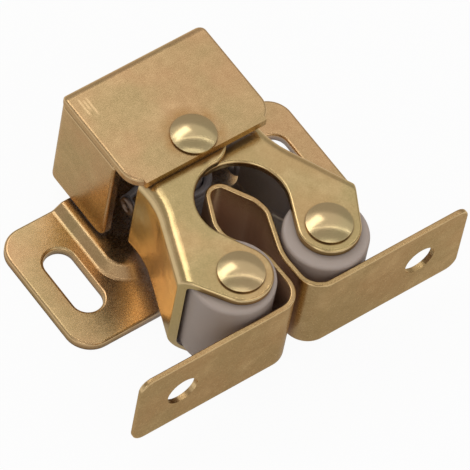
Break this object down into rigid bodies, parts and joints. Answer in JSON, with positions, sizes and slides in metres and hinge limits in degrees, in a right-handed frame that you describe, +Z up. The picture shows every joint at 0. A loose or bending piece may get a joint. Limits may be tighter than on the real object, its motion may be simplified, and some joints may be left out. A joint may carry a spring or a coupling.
{
  "type": "double roller catch",
  "caption": "Folded sheet bracket with sprung arms on a rivet, whose rollers grip a spear-shaped folded strike; slotted wings and drilled ears take the fixing screws.",
  "frame": {"origin": "on the underside of the bracket's base, midway between its slots", "axes": "+Z up off the mounting face, +X along the wings towards the right arm, -Y out of the mouth, the way the strike leaves"},
  "size_m": [0.0514, 0.0396, 0.0211],
  "materials": {
    "plated_bracket": "fine-grained satin brass plating on steel, edges worn bright",
    "plated_arm": "fine-grained satin brass plating on steel, edges worn bright",
    "plated_rivet": "satin brass plating on steel",
    "plated_strike": "satin brass plating on steel, scuffed on the ears",
    "spring_wire": "drawn spring wire, slightly dull",
    "roller_plastic": "grey-brown moulded plastic, satin"
  },
  "bodies": {
    "housing": {"housing_bracket": "plated_bracket", "pivot_rivet": "plated_rivet", "torsion_spring": "spring_wire"},
    "left_arm": {"left_arm": "plated_arm", "left_roller_rivet": "plated_rivet"},
    "right_arm": {"right_arm": "plated_arm", "right_roller_rivet": "plated_rivet"},
    "left_roller": {"left_roller": "roller_plastic"},
    "right_roller": {"right_roller": "roller_plastic"},
    "strike": {"strike": "plated_strike"}
  },
  "joints": [
    {"name": "strike_pull", "type": "slide", "parent": "housing", "child": "strike", "axis": [0, -1, 0], "range_m": [0, 0.004], "deforming": ["torsion_spring"]},
    {"name": "left_arm_pivot", "type": "hinge", "parent": "housing", "child": "left_arm", "pos_m": [0, 0.00094, 0], "axis": [0, 0, 1], "range_deg": [-10.8, 0], "stiffness_Nm_per_rad": 0.02},
    {"name": "right_arm_pivot", "type": "hinge", "parent": "housing", "child": "right_arm", "pos_m": [0, 0.00094, 0], "axis": [0, 0, 1], "range_deg": [0, 5.4], "stiffness_Nm_per_rad": 0.02},
    {"name": "left_roller_spin", "type": "hinge", "parent": "left_arm", "child": "left_roller", "pos_m": [-0.00701, -0.01788, 0], "axis": [0, 0, 1], "continuous": true},
    {"name": "right_roller_spin", "type": "hinge", "parent": "right_arm", "child": "right_roller", "pos_m": [0.00755, -0.01819, 0], "axis": [0, 0, 1], "continuous": true}
  ],
  "couplings": [
    {"joint": "left_arm_pivot", "follows": "strike_pull", "rad_per_m": -46.4},
    {"joint": "right_arm_pivot", "follows": "strike_pull", "rad_per_m": 22.7}
  ]
}
